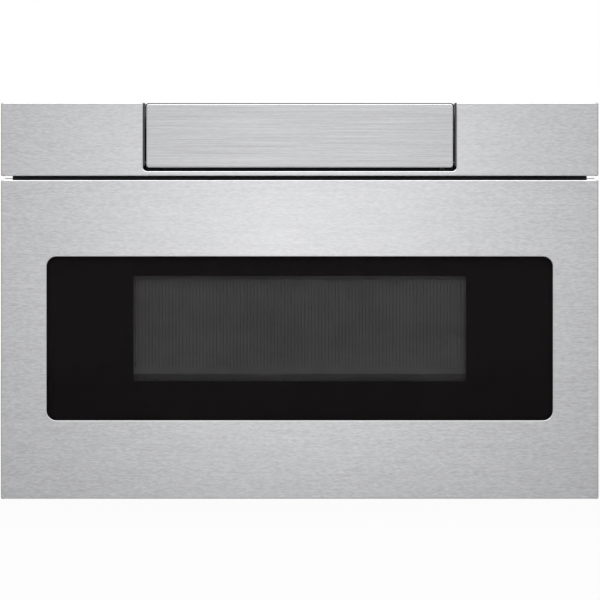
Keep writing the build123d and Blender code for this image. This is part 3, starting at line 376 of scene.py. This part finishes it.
def windings(name, base, wire):
    """Layers of enamelled wire."""
    p = Paint(name, base, metallic=0.85, roughness=0.3, coat=0.3)
    turns = p.bands(wire)
    varnish = p.noise((90, 90, 90), 4, 0.65)
    p.set("Base Color", p.shade(turns, 0.3, p.shade(varnish, 0.2)))
    p.rough(varnish, 0.22, 0.45)
    p.bump(turns, 0.8, 0.0004)
    return p.material


def circuit_board(name, mask_colour):
    """Solder mask over copper tracks, with tinned pads."""
    p = Paint(name, mask_colour, roughness=0.35, coat=0.2)
    tracks = p.cells((160, 160, 160), "Distance", "DISTANCE_TO_EDGE")
    pads = p.cells((260, 260, 260), "Distance")
    track = p.span(tracks, 1, 0, 0.05, 0.11)
    pad = p.span(pads, 1, 0, 0.16, 0.2)
    lighter = tuple(c * 1.9 for c in mask_colour)
    colour = p.blend(track, (*mask_colour, 1), (*lighter, 1))
    p.set("Base Color", p.blend(pad, colour, (0.55, 0.55, 0.52, 1)))
    p.set("Metallic", p.combine(pad, 0.8, "MULTIPLY"))
    p.rough(p.noise((40, 40, 40)), 0.3, 0.5)
    p.bump(track, 0.3, 0.00008)
    return p.material


def rubber(name, base):
    """Matt rubber with a dusty bloom."""
    p = Paint(name, base, roughness=0.75, specular=0.3)
    bloom = p.noise((45, 45, 45), 4, 0.65)
    p.set("Base Color", p.shade(bloom, 0.35))
    p.rough(bloom, 0.65, 0.85)
    p.bump(p.noise((1500, 1500, 1500), 2), 0.3, 0.00005)
    return p.material


front_steel = brushed(
    "front_steel", (0.376, 0.377, 0.386), 0.29, stroke=0.0055, width=0.0011, line=0.2, tone=0.22
)
trim_steel = brushed(
    "trim_steel", (0.378, 0.379, 0.388), 0.29, stroke=0.0055, width=0.0011, line=0.2, tone=0.20
)
flap_steel = brushed(
    "flap_steel", (0.357, 0.358, 0.367), 0.32, stroke=0.009, width=0.0005, line=0.55, tone=0.26
)
black_coat = powder_coat("black_coat", (0.017, 0.017, 0.018))
frame_coat = powder_coat("frame_coat", (0.035, 0.033, 0.031))
screen_coat = powder_coat("screen_coat", (0.176, 0.172, 0.176))
galvanised = spangle("galvanised", (0.46, 0.47, 0.48), size=0.009, metallic=0.7, roughness=0.6)
tube_metal = spangle("tube_metal", (0.55, 0.55, 0.54), size=0.004, metallic=1.0, roughness=0.42)
motor_can = spangle("motor_can", (0.40, 0.41, 0.42), size=0.003, metallic=1.0, roughness=0.42)
zinc = plated("zinc", (0.56, 0.56, 0.57), 0.28)
polished = plated("ball_steel", (0.62, 0.62, 0.63), 0.16)
bracket_steel = plated("bracket_steel", (0.06, 0.06, 0.06), 0.4)
blackened = plated("blackened_steel", (0.05, 0.05, 0.052), 0.4)
mill_aluminium = plated("mill_aluminium", (0.68, 0.68, 0.69), 0.34)
cavity_coat = enamel("cavity_enamel", (0.44, 0.44, 0.425), fleck=(0.56, 0.56, 0.545))
window_glass = thin_glass("window_glass", (0.52, 0.52, 0.52), index=1.0)
band_film = thin_glass("band_film", (0.70, 0.70, 0.70), index=1.0)
inner_glass = thin_glass("inner_glass", (0.88, 0.89, 0.89), index=1.2)
clear_glass = thin_glass("clear_glass", (0.81, 0.865, 0.846), index=1.35)
touch_glass = printed_black("touch_glass", (0.006, 0.0055, 0.0055), 0.1, specular=0.12)
glass_print = printed_black("glass_print", (0.028, 0.0225, 0.0235), 0.06, specular=0.1)
black_plastic = moulded("black_plastic", (0.022, 0.022, 0.023), 0.45)
rack_plastic = moulded("rack_plastic", (0.05, 0.05, 0.052), 0.4, grain=700)
pan_plastic = moulded("pan_plastic", (0.30, 0.31, 0.32), 0.35, grain=900, mottle=0.03)
stirrer_plastic = moulded("stirrer_plastic", (0.52, 0.51, 0.47), 0.42, grain=900, mottle=0.04)
nylon = moulded("nylon", (0.74, 0.72, 0.66), 0.38, grain=800, mottle=0.04)
pale_print = moulded("pale_print", (0.62, 0.63, 0.64), 0.5, grain=2000, mottle=0.02)
core_metal = laminations("core_metal", (0.16, 0.15, 0.14), sheet=0.0011)
copper = windings("copper", (0.52, 0.22, 0.09), wire=0.0016)
green_board = circuit_board("green_board", (0.03, 0.16, 0.06))
cord_rubber = rubber("cord_rubber", (0.02, 0.02, 0.02))

dress = {
    front_steel: ("drawer_front",),
    trim_steel: ("upper_trim",),
    flap_steel: ("flap_fascia",),
    black_coat: ("front_frame", "trim_brackets", "trim_lip", "window_screen"),
    bracket_steel: ("hinge_brackets",),
    frame_coat: ("door_frame",),
    galvanised: (
        "base_pan", "top_cover", "side_panels", "rear_panel",
        "waveguide", "slide_brackets", "switch_brackets",
    ),
    zinc: (
        "slide_outers", "slide_middles", "slide_inners", "slide_arms",
        "latch_tabs", "cross_shaft", "cabinet_screws",
    ),
    polished: ("bearing_balls",),
    blackened: ("hinge_pins",),
    cavity_coat: ("cavity_floor", "cavity_ceiling", "cavity_sides", "cavity_rear"),
    window_glass: ("front_glass",),
    inner_glass: ("inner_window",),
    clear_glass: ("pan_glass",),
    touch_glass: ("touch_glass",),
    black_plastic: (
        "control_housing", "tilt_damper", "flap_latch",
        "back_cover", "fan_housing", "interlock_switches",
    ),
    rack_plastic: ("racks",),
    pan_plastic: ("drawer_pan",),
    stirrer_plastic: ("stirrer_cover",),
    nylon: (
        "damper_sector", "damper_gear", "shaft_gears",
        "motor_gear", "shaft_bearings", "fan_blade",
    ),
    mill_aluminium: ("stirrer_blade", "hv_capacitor"),
    tube_metal: ("magnetron",),
    motor_can: ("drive_motor", "stirrer_motor", "cavity_lamp"),
    core_metal: ("transformer_core",),
    copper: ("transformer_windings",),
    green_board: ("control_board", "power_board"),
    cord_rubber: ("cord_gland",),
}
for material, names in dress.items():
    for name in names:
        mesh = nodes[name].data
        mesh.materials.clear()
        mesh.materials.append(material)

# ---------------------------------------------------------------- made pieces


def piece(name, points, faces, material, body):
    """A mesh piece from its points and faces, riding on a body."""
    shape = bmesh.new()
    corners = [shape.verts.new(point) for point in points]
    for face in faces:
        shape.faces.new([corners[i] for i in face])
    return piece_of(shape, name, material, body)


def piece_of(shape, name, material, body):
    """A mesh piece from a bmesh, riding on a body."""
    mesh = bpy.data.meshes.new(name)
    shape.to_mesh(mesh)
    shape.free()
    made = bpy.data.objects.new(name, mesh)
    bpy.context.scene.collection.objects.link(made)
    mesh.materials.append(material)
    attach(made, body)
    return made


def rounded_loop(left, right, low, top, radius):
    """Points (x, z) round a rectangle with round corners, from its lower left."""
    centres = (
        (left + radius, low + radius, 180),
        (right - radius, low + radius, 270),
        (right - radius, top - radius, 0),
        (left + radius, top - radius, 90),
    )
    loop = []
    for x, z, start in centres:
        for step in range(corner_steps + 1):
            turn = math.radians(start + 90 * step / corner_steps)
            loop.append((x + radius * math.cos(turn), z + radius * math.sin(turn)))
    return loop


def ring_plate(name, outer, inner, y, thickness, material, body):
    """A thin plate between two loops of as many points, facing -Y."""
    count = len(outer)
    points = []
    for depth in (y, y + thickness):
        for loop in (outer, inner):
            points += [(x, depth, z) for x, z in loop]
    front_outer, front_inner, back_outer, back_inner = 0, count, 2 * count, 3 * count
    faces = []
    for i in range(count):
        j = (i + 1) % count
        faces.append((front_outer + i, front_outer + j, front_inner + j, front_inner + i))
        faces.append((back_outer + j, back_outer + i, back_inner + i, back_inner + j))
        faces.append((front_outer + j, front_outer + i, back_outer + i, back_outer + j))
        faces.append((front_inner + i, front_inner + j, back_inner + j, back_inner + i))
    return piece(name, points, faces, material, body)


def glass_mask():
    """The black print on the back of the front glass, open at the window."""
    low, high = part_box("front_glass")
    left, right = low.x + mask_edge, high.x - mask_edge
    bottom, top = low.z + mask_edge, high.z - mask_edge
    outer = rounded_loop(left, right, bottom, top, mask_corner)
    inner = rounded_loop(-window_half, window_half, window_low, window_top, window_corner)
    y = high.y + print_gap
    return ring_plate("glass_mask", outer, inner, y, print_thickness, glass_print, "drawer")


def perforated_screen():
    """The screen behind the window: straight columns of holes in a plain margin. A hole
    is so small that eight sides make it look round."""
    low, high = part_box("window_screen")
    columns = round(2 * holes_half / hole_pitch_x)
    rows = round((holes_top - holes_low) / hole_pitch_z)
    across = [-holes_half + i * hole_pitch_x for i in range(columns + 1)]
    up = [holes_low + i * hole_pitch_z for i in range(rows + 1)]
    sheet = bmesh.new()

    def face(*corners):
        sheet.faces.new([sheet.verts.new((x, low.y, z)) for x, z in corners])

    def panel(left, right, bottom, top):
        face((left, bottom), (right, bottom), (right, top), (left, top))

    def holed_panel(left, right, bottom, top):
        # Each side of the panel meets two sides of the ring, which ends where it starts.
        corners = ((left, bottom), (right, bottom), (right, top), (left, top))
        x, z = (left + right) / 2, (bottom + top) / 2
        turns = [math.radians(225 + 45 * i) for i in range(9)]
        ring = [(x + hole_radius * math.cos(t), z + hole_radius * math.sin(t)) for t in turns]
        for i in range(4):
            face(corners[i], corners[(i + 1) % 4], ring[2 * i + 2], ring[2 * i + 1], ring[2 * i])

    for left, right in zip(across, across[1:]):
        for bottom, top in zip(up, up[1:]):
            holed_panel(left, right, bottom, top)
        panel(left, right, low.z, up[0])
        panel(left, right, up[-1], high.z)
    for left, right in ((low.x, across[0]), (across[-1], high.x)):
        for bottom, top in zip((low.z, *up), (*up, high.z)):
            panel(left, right, bottom, top)
    bmesh.ops.remove_doubles(sheet, verts=sheet.verts, dist=weld_distance)
    made = piece_of(sheet, "perforated_screen", screen_coat, "drawer")
    depth = made.modifiers.new("sheet", "SOLIDIFY")
    depth.thickness = high.y - low.y
    depth.offset = -1
    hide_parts("window_screen")
    return made


def window_band():
    """The denser print along the window's lower edge, a see-through grey film."""
    _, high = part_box("front_glass")
    lower = ((-window_half, window_low), (window_half, window_low))
    upper = ((window_half, band_top), (-window_half, band_top))
    y = (high.y + print_gap, high.y + print_gap + print_thickness)
    points = [(x, depth, z) for depth in y for x, z in lower + upper]
    faces = [(0, 1, 2, 3), (7, 6, 5, 4), (0, 4, 5, 1), (1, 5, 6, 2), (2, 6, 7, 3), (3, 7, 4, 0)]
    return piece("window_band", points, faces, band_film, "drawer")


def touch_plane():
    """A matrix that lays a flat drawing on the leaning touch glass, its origin at the
    middle of the front edge, x to the right and y up the glass away from the user."""
    low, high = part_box("touch_glass")
    front = low.y + touch_thickness * math.sin(touch_lean)
    away = Vector((0, math.cos(touch_lean), -math.sin(touch_lean)))
    out = Vector((0, math.sin(touch_lean), math.cos(touch_lean)))
    start = Vector((0, front, high.z)) + out * print_gap
    turn = Matrix((Vector((1, 0, 0)), away, out)).transposed()
    return Matrix.Translation(start) @ turn.to_4x4()


def panel_print():
    """Plain digits and two signs printed on the touch glass."""
    lay = touch_plane()
    joined = bmesh.new()
    layout = []
    for i, sign in enumerate("1234567890"):
        row, column = divmod(i, digits_in_row)
        layout.append((sign, digits_left + column * symbol_pitch, upper_row - row * row_pitch))
    for i, sign in enumerate("+-"):
        layout.append((sign, signs_left + i * symbol_pitch, upper_row))
    for sign, x, up in layout:
        curve = bpy.data.curves.new("sign", "FONT")
        curve.body = sign
        curve.size = symbol_height
        curve.align_x = "CENTER"
        curve.align_y = "CENTER"
        text = bpy.data.objects.new("sign", curve)
        mesh = bpy.data.meshes.new_from_object(text)
        mesh.transform(lay @ Matrix.Translation((x, up, 0)))
        joined.from_mesh(mesh)
        bpy.data.meshes.remove(mesh)
        bpy.data.objects.remove(text)
        bpy.data.curves.remove(curve)
    return piece_of(joined, "panel_print", pale_print, "control_panel")


mask = glass_mask()
window_band()
perforated_screen()
panel_print()

# ---------------------------------------------------------------- stage, light, camera


def floor():
    """A plain pale floor: nearly white to the eye, with the object's soft shadow."""
    z = cad_box[0][2] - floor_gap
    corners = [(x * floor_half, y * floor_half, z) for x, y in ((-1, -1), (1, -1), (1, 1), (-1, 1))]
    mesh = bpy.data.meshes.new("floor")
    mesh.from_pydata(corners, [], [(0, 1, 2, 3)])
    made = bpy.data.objects.new("floor", mesh)
    bpy.context.scene.collection.objects.link(made)
    p = Paint("pale_floor", (0.86, 0.86, 0.86), roughness=0.9, specular=0.1)
    p.set("Base Color", p.shade(p.noise((6, 6, 6)), 0.01))
    light = p.add("ShaderNodeLightPath").outputs
    glow = p.add("ShaderNodeEmission", {"Color": (1, 1, 1, 1), "Strength": 1.0})
    share = p.combine(light["Is Camera Ray"], floor_glow, "MULTIPLY")
    p.surface(p.add("ShaderNodeMixShader", {0: share, 1: p.shader.outputs[0], 2: glow.outputs[0]}))
    mesh.materials.append(p.material)


def world():
    """White to the camera and in mirror images, and a plain soft fill otherwise."""
    made = bpy.data.worlds.new("studio")
    made.use_nodes = True
    bpy.context.scene.world = made
    tree = made.node_tree
    shade = tree.nodes["Background"]
    shade.inputs["Color"].default_value = (1, 1, 1, 1)
    path = tree.nodes.new("ShaderNodeLightPath")
    seen = tree.nodes.new("ShaderNodeMath")
    seen.operation = "MAXIMUM"
    tree.links.new(path.outputs["Is Camera Ray"], seen.inputs[0])
    tree.links.new(path.outputs["Is Glossy Ray"], seen.inputs[1])
    strength = tree.nodes.new("ShaderNodeMapRange")
    strength.inputs["To Min"].default_value = world_fill
    strength.inputs["To Max"].default_value = world_white
    tree.links.new(seen.outputs[0], strength.inputs["Value"])
    tree.links.new(strength.outputs["Result"], shade.inputs["Strength"])


def lamp(name, place, aim, width, height, power):
    """A softbox that the camera doesn't see, aimed at a point."""
    light = bpy.data.lights.new(name, "AREA")
    light.shape = "RECTANGLE"
    light.size = width
    light.size_y = height
    light.energy = power
    made = bpy.data.objects.new(name, light)
    made.location = place
    made.rotation_euler = (Vector(aim) - Vector(place)).to_track_quat("-Z", "Y").to_euler()
    made.visible_camera = False
    bpy.context.scene.collection.objects.link(made)
    return made


def flag(light, kept_dark):
    """Keeps a softbox's mirror image off glass, as a flag beside the camera does."""
    kept = bpy.data.collections.new(light.name + "_flag")
    for thing in kept_dark:
        kept.objects.link(thing)
    light.light_linking.receiver_collection = kept
    for entry in kept.collection_objects:
        entry.light_linking.link_state = "EXCLUDE"


def camera():
    """The camera, level and straight at the front."""
    data = bpy.data.cameras.new("camera")
    data.lens = camera_lens
    data.sensor_width = camera_sensor
    data.clip_end = camera_range
    made = bpy.data.objects.new("camera", data)
    made.location = (camera_x, cad_box[0][1] - camera_distance, camera_z)
    made.rotation_euler = (math.radians(90), 0, 0)
    bpy.context.scene.collection.objects.link(made)
    bpy.context.scene.camera = made


floor()
world()
front = lamp(
    "front_softbox", place=(0, -4.4, 0.34), aim=(0, -0.3, 0.25), width=0.70, height=0.55, power=6.3
)
panes = [nodes[name] for name in ("front_glass", "touch_glass", "inner_window", "pan_glass")]
flag(front, [mask, *panes])
lamp("top_softbox", place=(0, -1.5, 1.95), aim=(0, -0.2, 0.2), width=3.4, height=2.0, power=46)
camera()

bpy.context.scene.view_settings.view_transform = "Standard"
